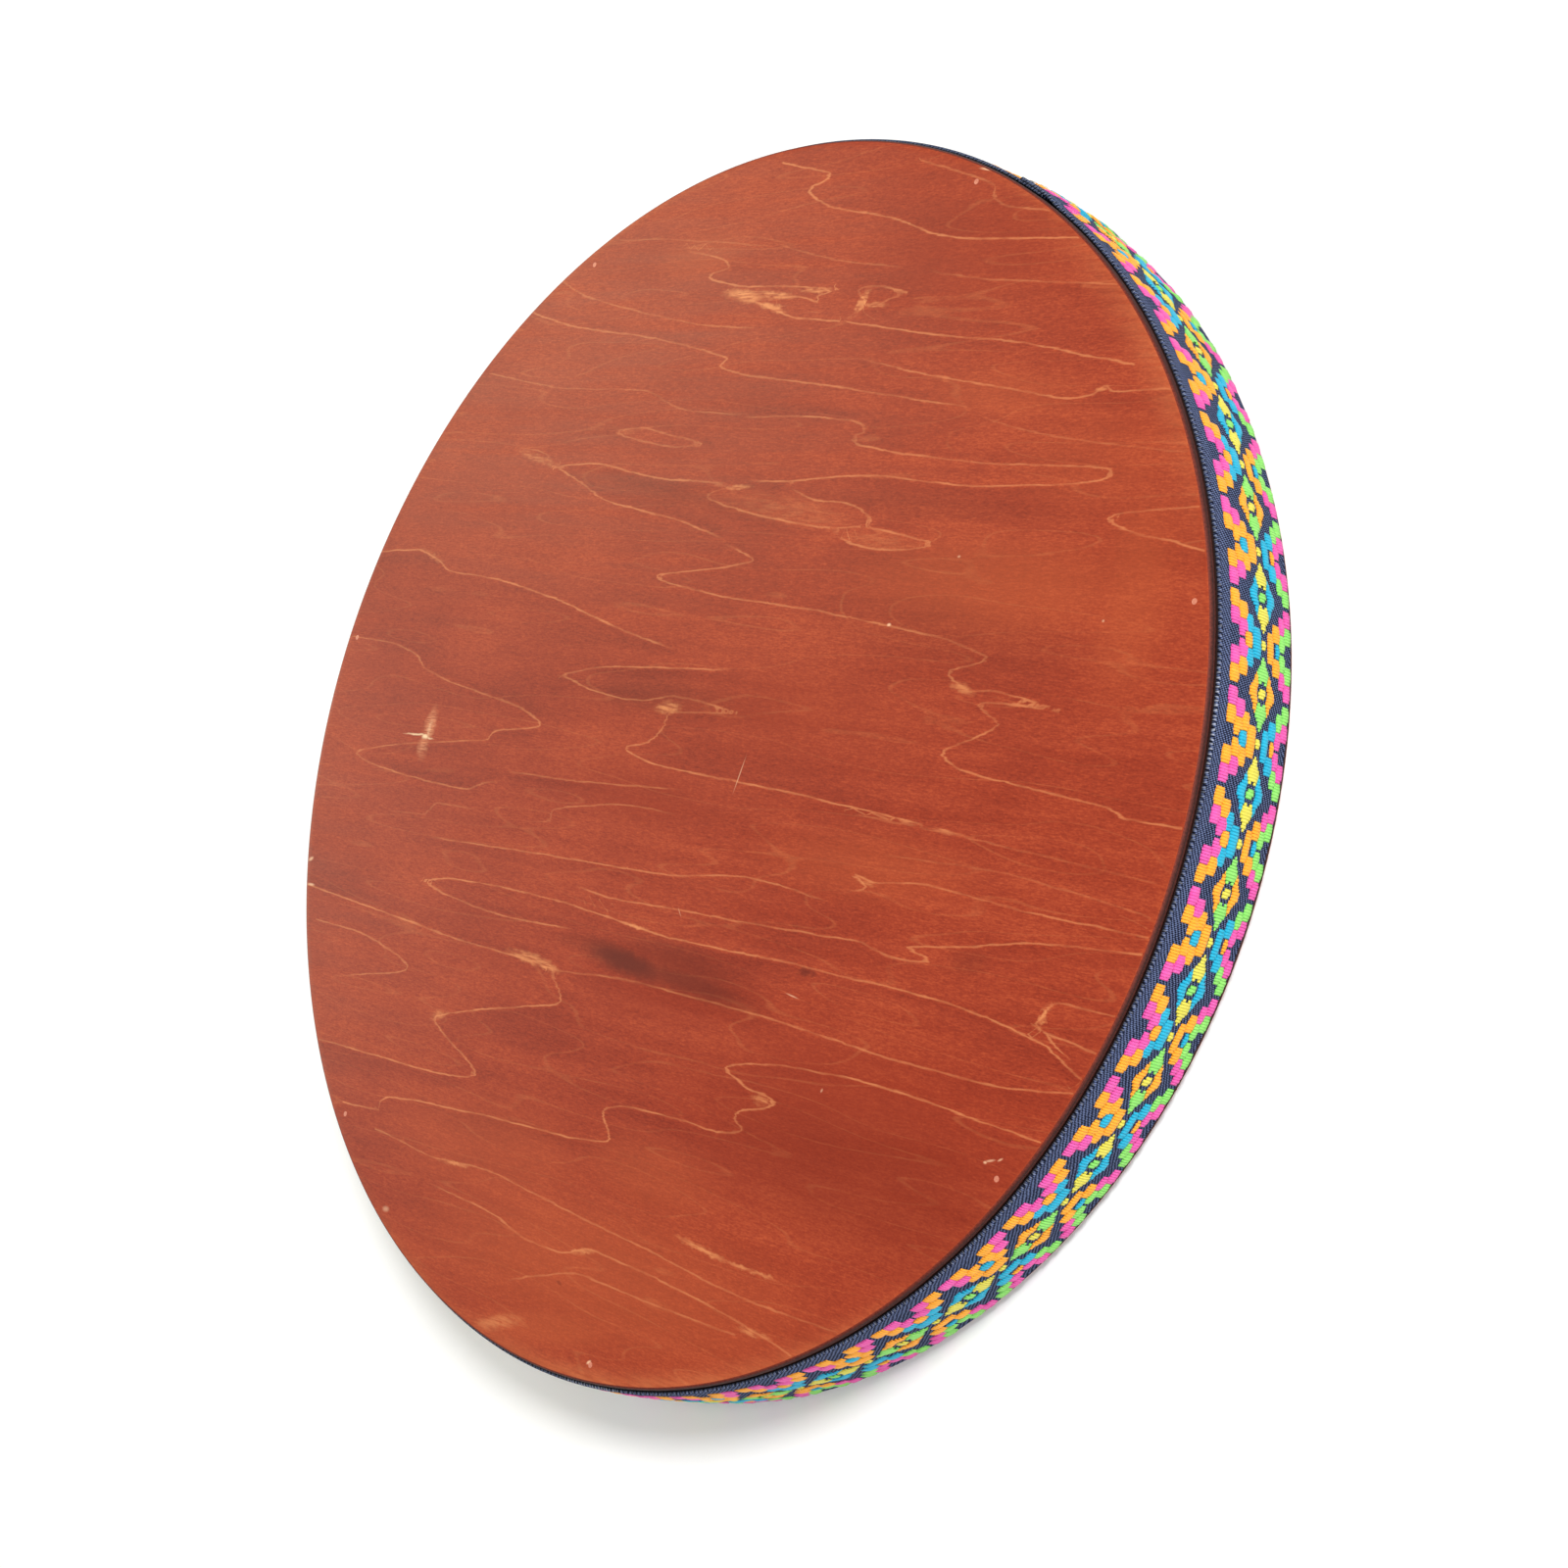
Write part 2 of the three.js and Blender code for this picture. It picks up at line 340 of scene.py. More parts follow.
def carryWear(piece, spots):
    # the rim, where the arris has been sanded or rubbed lighter: spots give angle, spread, width, strength
    places = vertexPlaces(piece)
    radius, angle = np.hypot(places[:, 0], places[:, 1]), np.degrees(np.arctan2(places[:, 1], places[:, 0]))
    wear = np.zeros(len(places))
    for centre, spread, width, strength in spots:
        turned = (angle - centre + 180) % 360 - 180
        near = np.clip((radius - (board["radius"] - width)) / width, 0, 1)
        wear = np.maximum(wear, strength * np.exp(-(turned / spread) ** 2) * near**1.5)
    addValues(piece, "rimWear", wear)


def makeBoard(name, underside, arris, faceUp):
    # both rims of the section are rounded, and the face that shows is divided into rings before the spin
    radius = board["radius"]
    middle, low, high = radius - arris, underside + arris, underside + board["thickness"] - arris
    quarter = [math.pi / 2 * step / board["arrisSteps"] for step in range(board["arrisSteps"] + 1)]
    section = [(0, underside)]
    section += [(middle + arris * math.sin(a), low - arris * math.cos(a)) for a in quarter]
    section += [(middle + arris * math.cos(a), high + arris * math.sin(a)) for a in quarter]
    section += [(0, underside + board["thickness"])]
    piece = drawSection(name, section)
    splitSection(piece, section[-1][1] if faceUp else underside, board["faceRings"])
    return spinSection(piece, board["steps"])


# Marks on the face, as ellipses: x, y, half length, half width, degrees, strength
paleWood = [  # knots and torn places, which took less stain
    (-9, 150.3, 12, 2.7, -12, 1.0), (6, 148.6, 11, 1.5, -12, 0.9), (4.5, 144.6, 9, 1.6, -20, 0.9),
    (24, 147.7, 9, 1.0, -8, 0.8), (46, 141, 5.5, 1.9, 62, 0.8), (52, 139.2, 6, 1.0, -8, 0.6),
    (159.3, -77.5, 4.6, 1.5, 68, 0.7), (27, 75, 34, 5.5, -12, 0.18), (70, 62, 18, 3, -9, 0.18),
    (-60, -71.5, 14, 2.2, -8, 0.8), (-51, -73.5, 8, 1.6, -15, 0.8), (42, -154.5, 13, 1.3, -12, 0.8),
    (63, -158, 13, 0.9, -7, 0.7), (69, -175.5, 8, 1.3, -5, 0.6), (-13, 12, 7, 2.6, 0, 0.9),
    (-45, -188, 13, 3, 12, 0.5), (-81, -141, 9, 0.9, -4, 0.7), (112, 15, 6, 1.8, -20, 0.6),
    (86, -42.5, 5, 1.3, -10, 0.5), (-102, 103, 14, 1.7, -18, 0.5), (-153, 71, 9, 1.6, -22, 0.4),
    (57, -108.8, 5, 2, -10, 0.7), (148, 101.5, 3, 0.9, 10, 0.6), (3, 84, 8, 1, 0, 0.6),
    (-11, -59, 7, 0.9, -12, 0.7), (-103, -93, 5, 2.4, 15, 0.5), (-10, -161.5, 7, 1.1, 8, 0.6),
]
thinStain = [  # broad places where the stain was wiped thinner
    (15, -136, 42, 15, -6, 0.5), (-20, -186, 48, 9, 3, 0.8), (85, -38, 52, 13, -5, 0.45),
    (170, 42, 18, 38, 0, 0.5), (-33, 168, 28, 10, 0, 0.5), (112, 104, 40, 10, -8, 0.4),
    (0, -168, 115, 30, -4, 0.7), (-60, -138, 70, 25, -6, 0.4), (118, 46, 68, 18, -6, 0.6),
    (150, 80, 40, 20, -6, 0.3),
]
deepStain = [  # and where it lies thicker
    (95, -118, 85, 40, -6, 0.8), (90, 150, 55, 22, -6, 0.5), (45, 10, 50, 16, -6, 0.5),
    (-25, -16, 42, 14, -6, 0.6), (10, -78, 50, 14, -6, 0.6),
]
rubbedSmear = [  # the pale cross, rubbed through the varnish
    (-136.2, 8, 7.5, 3.8, 82, 0.65), (-138.2, 0.5, 5.5, 3.8, 90, 0.5),
]
rubbedCore = [  # and its middle, down to the bare wood
    (-138, 4.0, 2.2, 1.1, -8, 0.7), (-143, 4.9, 8, 0.5, -3, 0.6), (-135, 3.3, 2.6, 0.5, -10, 0.5),
    (-136.5, 6.5, 4, 1.2, 80, 0.2),
]
bareMarks = [  # scratches and scuffs
    (92.5, 177.2, 5.5, 0.7, -12, 1.0), (25.2, -10.2, 6.8, 0.3, 75, 0.4), (8.3, -54, 2.0, 0.22, -55, 0.3),
    (63, -77.3, 3.3, 0.3, -14, 0.4), (-193, -41, 1.8, 0.9, 20, 0.6), (-112.5, -159.5, 2.2, 1.2, 0, 0.35),
    (79, 35.4, 1.0, 0.6, 0, 0.7), (-190, -50.4, 2.6, 0.6, -5, 0.6), (148, -117.8, 2.2, 0.45, 12, 0.45),
    (146.3, -118.4, 0.8, 0.5, 0, 0.6), (151.5, -117.2, 1.2, 0.4, 25, 0.5), (81, -104, 0.8, 0.5, 60, 0.35),
    (0.8, -193.8, 1.3, 0.6, 30, 0.7), (160.5, 33, 0.6, 0.5, 0, 0.4), (103, 55, 0.8, 0.5, 0, 0.35),
]
darkStain = [  # smears and spots where the stain was left standing
    (-13, -70.4, 29, 5.6, -12, 1.0), (14, -70, 38, 7.5, -11, 0.5), (17, -75.5, 38, 5.2, -10.5, 0.7),
    (130, -64, 9, 4.5, 5, 0.3), (67.5, -70, 4, 1.8, 0, 0.7), (-38, -65, 14, 3.5, -4, 0.25),
    (-19, -172, 2.4, 0.8, -15, 0.5), (100, -128, 75, 26, -8, 0.22), (110, 30, 70, 12, -9, 0.2),
    (-20, 16, 45, 8, -6, 0.3), (-30, 85, 60, 5, -12, 0.25), (90, 71, 70, 5, -8, 0.15),
]


def ellipseMask(tree, place, marks):
    # the strongest of the marks at a place, each fading towards its edge
    strongest = None
    for x, y, length, width, degrees, strength in marks:
        local = addNode(tree, "Mapping", {
            "Vector": place, "Location": (x * mm, y * mm, 0), "Rotation": (0, 0, math.radians(degrees)),
            "Scale": (length * mm, width * mm, 10)}, vector_type="TEXTURE")
        away = addNode(tree, "VectorMath", {0: local}, operation="LENGTH", output="Value")
        fade = addNode(tree, "MapRange", {
            "Value": away, "From Min": 0.2, "From Max": 1.15, "To Min": strength, "To Max": 0},
            interpolation_type="SMOOTHSTEP")
        strongest = addNode(tree, "Math", {0: strongest, 1: fade}, operation="MAXIMUM") if strongest else fade
    return strongest


def grainNoise(tree, place, length, width, detail=2.0):
    # noise whose spots lie along the grain, that long and wide in millimetres
    stretched = addNode(tree, "Mapping", {
        "Vector": place, "Rotation": (0, 0, math.radians(-6)), "Scale": (length * mm, width * mm, 5 * mm)},
        vector_type="TEXTURE")
    return addNode(tree, "TexNoise", {"Vector": stretched, "Scale": 1.0, "Detail": detail})


def stainedVeneer(name, marked):
    # Birch veneer, stained red-brown and wiped, under a thin satin varnish: the rings take less stain and
    # show as thin pale lines with teeth along the fibres, and the sheen is broad and soft.
    material, tree = newMaterial(name)
    place = addNode(tree, "TexCoord", output="Object")
    fibres = grainNoise(tree, place, 2.6, 0.42, 3)  # true fibres are a tenth of a millimetre: bundles show
    flecks = grainNoise(tree, place, 1.0, 0.4, 1)
    bands = grainNoise(tree, place, 75, 5, 3)
    clouds = grainNoise(tree, place, 42, 26)
    teeth = grainNoise(tree, place, 4.5, 0.7)
    waves = grainNoise(tree, place, 14, 9)
    side, reach, strength, dark, tooth, wear = (
        addNode(tree, "Attribute", attribute_name=carried, output="Fac")
        for carried in ("ringSide", "ringReach", "ringStrength", "ringDark", "ringTooth", "rimWear"))

    # the ring lines: the distance from one, moved a little by the teeth and by slow waves
    jump = addNode(tree, "Math", {0: teeth, 1: 0.5}, operation="SUBTRACT")
    jump = addNode(tree, "Math", {0: jump, 1: tooth}, operation="MULTIPLY")
    shifted = addNode(tree, "Math", {0: jump, 1: 2.4, 2: side}, operation="MULTIPLY_ADD")
    swing = addNode(tree, "Math", {0: waves, 1: 0.5}, operation="SUBTRACT")
    shifted = addNode(tree, "Math", {0: swing, 1: 1.1, 2: shifted}, operation="MULTIPLY_ADD")
    offLine = addNode(tree, "Math", {0: shifted}, operation="ABSOLUTE")
    lineEdge = addNode(tree, "Math", {0: tooth, 1: 0.34, 2: 0.38}, operation="MULTIPLY_ADD")
    line = addNode(tree, "MapRange", {"Value": offLine, "From Min": 0.04, "From Max": lineEdge,
                                      "To Min": 1, "To Max": 0}, interpolation_type="SMOOTHSTEP")
    close = addNode(tree, "MapRange", {
        "Value": reach, "From Min": 1.4, "From Max": 2.2, "To Min": 1, "To Max": 0})
    broken = addNode(tree, "MapRange", {
        "Value": grainNoise(tree, place, 12, 5), "From Min": 0.36, "From Max": 0.6,
        "To Min": 0.35, "To Max": 1})
    line = addNode(tree, "Math", {0: line, 1: close}, operation="MULTIPLY")
    line = addNode(tree, "Math", {0: line, 1: strength}, operation="MULTIPLY")
    line = addNode(tree, "Math", {0: line, 1: broken}, operation="MULTIPLY")
    shade = addNode(tree, "MapRange", {"Value": shifted, "From Min": -0.2, "From Max": 1.6},
                    interpolation_type="SMOOTHSTEP")
    shade = addNode(tree, "Math", {0: shade, 1: dark}, operation="MULTIPLY")

    tone = 0.5
    for noise, amount in ((fibres, 0.75), (flecks, 0.6), (bands, 0.42), (clouds, 0.4)):
        centred = addNode(tree, "Math", {0: noise, 1: 0.5}, operation="SUBTRACT")
        tone = addNode(tree, "Math", {0: centred, 1: amount, 2: tone}, operation="MULTIPLY_ADD")
    tone = addNode(tree, "Math", {0: shade, 1: -0.16, 2: tone}, operation="MULTIPLY_ADD")
    base = addNode(tree, "ValToRGB", {"Fac": tone}, ramp=[
        (0.1, "#7B2515"), (0.5, "#98361E"), (0.9, "#B64E2B")])

    # fainter rings between them: contour lines of a slow noise
    field = grainNoise(tree, place, 130, 17, 1)
    field = addNode(tree, "Math", {0: field, 1: 45.0, 2: jump}, operation="MULTIPLY_ADD")
    contour = addNode(tree, "Math", {0: field}, operation="SINE")
    contour = addNode(tree, "MapRange", {"Value": contour, "From Min": 0.97, "From Max": 1.0})
    contour = addNode(tree, "Math", {0: contour, 1: broken}, operation="MULTIPLY")

    worn = addNode(tree, "MapRange", {
        "Value": grainNoise(tree, place, 14, 1.6, 3), "From Min": 0.3, "From Max": 0.7,
        "To Min": 0.35, "To Max": 1})
    worn = addNode(tree, "Math", {0: worn, 1: wear}, operation="MULTIPLY")
    tints = [(contour, 0.13, "#D88450"), (worn, 1.0, "#D47A4A"), (line, 0.52, "#E08E5A")]
    if marked:
        drift = addNode(tree, "TexNoise", {"Vector": place, "Scale": 420.0, "Detail": 2.0}, output="Color")
        drift = addNode(tree, "VectorMath", {0: drift, 1: (0.5, 0.5, 0.5)}, operation="SUBTRACT")
        ragged = addNode(tree, "VectorMath", {0: drift, 1: (6 * mm, 2 * mm, 0), 2: place},
                         operation="MULTIPLY_ADD")
        frayed = addNode(tree, "VectorMath", {0: drift, 1: (3 * mm, 0.8 * mm, 0), 2: place},
                         operation="MULTIPLY_ADD")
        torn = addNode(tree, "MapRange", {
            "Value": grainNoise(tree, place, 6, 0.8), "From Min": 0.38, "From Max": 0.58,
            "To Min": 0.25, "To Max": 1})
        ticks = addNode(tree, "MapRange", {
            "Value": grainNoise(tree, place, 5, 0.45), "From Min": 0.36, "From Max": 0.6,
            "To Min": 0.15, "To Max": 1})
        torn = addNode(tree, "Math", {0: torn, 1: ellipseMask(tree, ragged, paleWood)}, operation="MULTIPLY")
        ticks = addNode(tree, "Math", {0: ticks, 1: ellipseMask(tree, frayed, rubbedSmear)},
                        operation="MULTIPLY")
        tints = [(ellipseMask(tree, place, thinStain), 0.5, "#B8562E"),
                 (ellipseMask(tree, place, deepStain), 0.6, "#8C2A12")] + tints
        tints += [(ellipseMask(tree, ragged, darkStain), 0.85, "#581A10"), (torn, 0.8, "#E0905A"),
                  (ticks, 0.8, "#F0A878"), (ellipseMask(tree, frayed, rubbedCore), 1.0, "#FFE2B4"),
                  (ellipseMask(tree, place, bareMarks), 1.0, "#F8C8A0")]
    for mask, amount, colour in tints:
        share = addNode(tree, "Math", {0: mask, 1: amount}, operation="MULTIPLY")
        base = addNode(tree, "Mix", {0: share, 6: base, 7: toLinear(colour)}, data_type="RGBA", output=2)

    relief = addNode(tree, "Math", {0: line, 1: 0.4, 2: fibres}, operation="MULTIPLY_ADD")
    bump = addNode(tree, "Bump", {"Height": relief, "Strength": 0.06, "Distance": 0.1 * mm})
    gloss = addNode(tree, "MapRange", {
        "Value": bands, "From Min": 0.3, "From Max": 0.7, "To Min": 0.3, "To Max": 0.38})
    addNode(tree, "OutputMaterial", {"Surface": addNode(tree, "BsdfPrincipled", {
        "Base Color": base, "Roughness": gloss, "Specular IOR Level": 0.17, "Normal": bump})})
    return material


def plyEdge(name, underside, lowerVeneer):
    # The sawn edge of three-ply: end grain drinks the stain and turns dark brown, the plies show as bands,
    # and the outer veneer of the face is rounded and rubbed lighter. The lower veneer has its own colour.
    material, tree = newMaterial(name)
    place = addNode(tree, "TexCoord", output="Object")
    height = addNode(tree, "SeparateXYZ", {0: place}, output="Z")
    share = addNode(tree, "MapRange", {
        "Value": height, "From Min": underside * mm, "From Max": (underside + board["thickness"]) * mm})
    # painted shade: the ramp grows darker from the rubbed arris at the top down to where the ribbon meets the
    # edge, over the stained end grain and its dark glue lines
    pliesAndShade = addNode(tree, "ValToRGB", {"Fac": share}, ramp=[
        (0.0, lowerVeneer), (0.13, lowerVeneer), (0.18, "#2A110D"), (0.34, "#34150F"), (0.4, "#4A2018"),
        (0.6, "#421B15"), (0.66, "#240E0B"), (0.72, "#3C1812"), (0.88, "#57231A"), (1.0, "#843220")])
    pores = addNode(tree, "TexNoise", {"Vector": place, "Scale": 1400.0, "Detail": 2.0})
    shade = addNode(tree, "MapRange", {
        "Value": pores, "From Min": 0.35, "From Max": 0.65, "To Min": 0.7, "To Max": 1.15})
    colour = addNode(tree, "Mix", {0: 1.0, 6: pliesAndShade, 7: shade}, data_type="RGBA", blend_type="MULTIPLY",
                     output=2)
    bump = addNode(tree, "Bump", {"Height": pores, "Strength": 0.3, "Distance": 0.1 * mm})
    addNode(tree, "OutputMaterial", {"Surface": addNode(tree, "BsdfPrincipled", {
        "Base Color": colour, "Roughness": 0.6, "Specular IOR Level": 0.2, "Normal": bump})})
    return material


def dressBoard(piece, veneer, edge):
    piece.data.materials.append(veneer)
    piece.data.materials.append(edge)
    for face in piece.data.polygons:
        face.material_index = 1 if abs(face.normal.z) < 0.96 else 0


topWear = [  # angle and spread in degrees, width, strength
    (15, 12, 1.3, 0.9), (-85, 22, 7, 0.75), (-62, 10, 5, 0.5), (35, 16, 12, 0.45), (110, 16, 3, 0.6),
    (0, 300, 1.6, 0.35), (-115, 12, 5, 0.4), (55, 12, 4, 0.4),
]
topUnderside = board["height"] - board["thickness"]
topBoard = makeBoard("topBoard", topUnderside, board["topArris"], True)
carryFigure(topBoard, faceFigure, board["height"])
carryWear(topBoard, topWear)
dressBoard(topBoard, stainedVeneer("stained veneer, marked face", True),
           plyEdge("ply edge, top", topUnderside, "#241009"))
finishPiece(topBoard, "stained_plywood", None, "top_board")


def drawnFigure(seed):
    # ring lines for the hidden board: long lines across it, a few of which turn back in a pointed loop
    chance = np.random.default_rng(seed)
    lines = []
    for y in np.arange(-185, 186, 15.0):
        reach = math.sqrt(board["radius"] ** 2 - y * y) - 4
        y += chance.uniform(-4, 4)
        slope = chance.uniform(-0.12, -0.06)
        if chance.random() < 0.45:
            tip, gap = chance.uniform(-0.5, 0.6) * reach, chance.uniform(5, 10)
            halfway = (tip - reach) / 2
            points = [(-reach, y - slope * reach), (halfway, y + slope * halfway),
                      (tip, y + slope * tip - gap / 2), (tip - 0.3 * reach, y - gap), (-reach, y - gap)]
        else:
            points = [(x, y + slope * x + chance.uniform(-1.5, 1.5)) for x in np.linspace(-reach, reach, 7)]
        lines.append((chance.uniform(0.4, 0.9), chance.choice([0, 0.6, 1]), points))
    return lines


bottomBoard = makeBoard("bottomBoard", 0, board["bottomArris"], False)
carryFigure(bottomBoard, drawnFigure(7), 0)
carryWear(bottomBoard, [(0, 300, 1.6, 0.3)])
dressBoard(bottomBoard, stainedVeneer("stained veneer, hidden face", False),
           plyEdge("ply edge, bottom", 0, "#965236"))
finishPiece(bottomBoard, "stained_plywood", None, "bottom_board")


# The hoop keeps its CAD shape, under a bent strip's finish

def bentStrip():
    # Beech strip, steamed and bent: stained dark, it shows only as the line between board and ribbon.
    material, tree = newMaterial("bent beech strip")
    place = addNode(tree, "TexCoord", output="Object")
    east, north, height = (addNode(tree, "SeparateXYZ", {0: place}, output=axis) for axis in "XYZ")
    turned = addNode(tree, "Math", {0: north, 1: east}, operation="ARCTAN2")
    along = addNode(tree, "CombineXYZ", {"X": turned, "Z": height})
    stretched = addNode(tree, "Mapping", {"Vector": along, "Scale": (8, 1, 900)})
    noise = addNode(tree, "TexNoise", {"Vector": stretched, "Scale": 1.0, "Detail": 3.0})
    colour = addNode(tree, "ValToRGB", {"Fac": noise}, ramp=[(0.3, "#29110B"), (0.7, "#391A12")])
    bump = addNode(tree, "Bump", {"Height": noise, "Strength": 0.2, "Distance": 0.1 * mm})
    addNode(tree, "OutputMaterial", {"Surface": addNode(tree, "BsdfPrincipled", {
        "Base Color": colour, "Roughness": 0.7, "Normal": bump})})
    return material


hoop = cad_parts["hoop"]
hoop.data.materials.clear()
hoop.data.materials.append(bentStrip())

# The brads: one is modelled and copied to each place

brad = {
    "circle": 194.5,
    "angles": [11, 63.5, 117.5, 167.5, 222, 270.5, 321],  # of the top board; the bottom ones are turned on
    "turn": 180 / 7,
    "head": 1.8,
    "headThickness": 0.8,
    "dome": 0.06,  # how far the middle of the head stands out of the wood
    "shank": 1.2,
    "length": 15,
    "tip": 1.8,
    "sides": 16,
}


def filedSteel():
    # Mild steel brad, its head filed flush and filmed with stain and varnish: pinkish, dull, finely
    # scratched.
    material, tree = newMaterial("filed steel under varnish")
    place = addNode(tree, "TexCoord", output="Object")
    stretched = addNode(tree, "Mapping", {"Vector": place, "Scale": (9000, 1500, 1500)})
    scratches = addNode(tree, "TexNoise", {"Vector": stretched, "Scale": 1.0})
    colour = addNode(tree, "ValToRGB", {"Fac": scratches}, ramp=[(0.3, "#B4604A"), (0.7, "#DC8C70")])
    bump = addNode(tree, "Bump", {"Height": scratches, "Strength": 0.3, "Distance": 0.05 * mm})
    addNode(tree, "OutputMaterial", {"Surface": addNode(tree, "BsdfPrincipled", {
        "Base Color": colour, "Metallic": 0.1, "Roughness": 0.4, "Normal": bump})})
    return material


half, shank = brad["head"] / 2, brad["shank"] / 2
firstBrad = drawSection("firstBrad", [
    (0, brad["dome"]), (half * 0.6, brad["dome"] * 0.7), (half, 0), (half, -brad["headThickness"]),
    (shank, -brad["headThickness"]), (shank, brad["tip"] - brad["length"]), (0, -brad["length"])])
spinSection(firstBrad, brad["sides"])
steel = filedSteel()
for label, height, turn in (("top", board["height"], 0), ("bottom", 0, brad["turn"])):
    for number, angle in enumerate(brad["angles"]):
        angle = math.radians(angle + turn)
        copy = firstBrad.copy()
        copy.data = firstBrad.data.copy()
        copy.name = copy.data.name = f"{label}Brad{number + 1}"
        bpy.context.scene.collection.objects.link(copy)
        place = Vector((brad["circle"] * math.cos(angle), brad["circle"] * math.sin(angle), height)) * mm
        flip = Matrix.Rotation(0 if label == "top" else math.pi, 4, "X")
        copy.data.transform(Matrix.Translation(place) @ flip)
        finishPiece(copy, "steel_brad", steel, f"{label}_brad_{number + 1}")
bpy.data.objects.remove(firstBrad)


# The ribbon: a woven strip glued round the rim, its top end lapped over the other

ribbon = {
    "innerRadius": 200.3,
    "nearEdge": 35.5,  # height of the selvedge next to the face
    "width": 33.1,
    "thickness": 0.7,
    "crown": 0.8,  # how much it bulges between the selvedges
    "endAngle": 59.5,  # degrees, where the top end lies; the ribbon runs clockwise from it
    "lap": 12,
    "lapLift": 0.85,  # how far the layer under it lifts the top layer
    "lapSlope": 9,  # length over which the top layer comes down behind the lap
    "edgeRounding": 0.6,
    "rollHeight": 0.28,  # of the woven edge, which stands a little above the ground
    "rollPlace": 0.7,
    "rollWidth": 0.5,
    "designRadius": 200.6,  # the pattern's distances along the ribbon are measured here
    "stepLength": 2.6,
}
rimLength = 2 * math.pi * ribbon["designRadius"]


def groundHeight(across):
    # thickness of the cloth at a distance from its near edge
    half = ribbon["width"] / 2
    share = (across - half) / half
    inward = np.minimum(across, ribbon["width"] - across)
    edge = np.clip(inward / ribbon["edgeRounding"], 0, 1)
    roll = ribbon["rollHeight"] * np.exp(-((inward - ribbon["rollPlace"]) / ribbon["rollWidth"]) ** 2)
    return (ribbon["thickness"] * np.sqrt(1 - (1 - edge) ** 2) + ribbon["crown"] * np.clip(1 - share**2, 0, 1)
            + roll * edge)


def lapHeight(along):
    # how far the start of the ribbon is lifted by the end that lies under it
    slope = np.clip((along - ribbon["lap"]) / ribbon["lapSlope"], 0, 1)
    return ribbon["lapLift"] * (1 - slope * slope * (3 - 2 * slope))


def onRibbon(along, across, height):
    # a place on the ribbon: along clockwise from its top end, across from the near edge, height off the rim
    angle = math.radians(ribbon["endAngle"]) - along / ribbon["designRadius"]
    radius = ribbon["innerRadius"] + height
    return np.stack([radius * np.cos(angle), radius * np.sin(angle), ribbon["nearEdge"] - across], axis=-1)


def makeRibbon():
    edges = np.array([0, 0.12, 0.35, 0.7, 1.1, 1.6, 2.3])  # divided finely, and the ground between evenly
    ground = np.linspace(3.4, ribbon["width"] - 3.4, 15)
    across = np.concatenate([edges, ground, ribbon["width"] - edges[::-1]])
    length = rimLength + ribbon["lap"]
    along = np.linspace(0, length, int(length / ribbon["stepLength"]))
    alongGrid, acrossGrid = np.meshgrid(along, across, indexing="ij")
    outer = onRibbon(alongGrid, acrossGrid, groundHeight(acrossGrid) + lapHeight(alongGrid) + 0.02)
    inner = onRibbon(alongGrid, acrossGrid, lapHeight(alongGrid))
    rows, columns = alongGrid.shape
    number = np.arange(rows * columns).reshape(rows, columns)
    faces = []
    for r in range(rows - 1):
        for c in range(columns - 1):
            a, b, d, e = number[r, c], number[r + 1, c], number[r + 1, c + 1], number[r, c + 1]
            faces += [(a, e, d, b), tuple(corner + rows * columns for corner in (a, b, d, e))]
    rim = list(number[:, 0]) + list(number[-1, 1:]) + list(number[-2::-1, -1]) + list(number[0, -2:0:-1])
    for first, second in zip(rim, rim[1:] + rim[:1]):
        faces.append((second, first, first + rows * columns, second + rows * columns))
    faces = [tuple(int(corner) for corner in face) for face in faces]
    places = np.concatenate([outer.reshape(-1, 3), inner.reshape(-1, 3)])
    piece = meshFromCorners("wovenRibbon", places, faces)
    layout = piece.data.uv_layers.new(name="clothMap")
    flat = np.tile(np.stack([alongGrid.ravel(), acrossGrid.ravel()], axis=1), (2, 1))
    corners = np.zeros(len(piece.data.loops), dtype=np.int32)
    piece.data.loops.foreach_get("vertex_index", corners)
    layout.data.foreach_set("uv", flat[corners].astype(np.float32).ravel())
    return piece


weave = {
    "ribs": 0.95,  # spacing, along the ribbon
    "dashes": 1.3,  # spacing, across it
    "stitches": 1.3,  # spacing of the glue stitches
    "stitchRow": 0.3,  # how far they lie from the near edge
    "clearStitches": (203.0, 523.0),  # places along the ribbon where they show best
    "faintStitches": 0.22,  # how strongly they show elsewhere
}


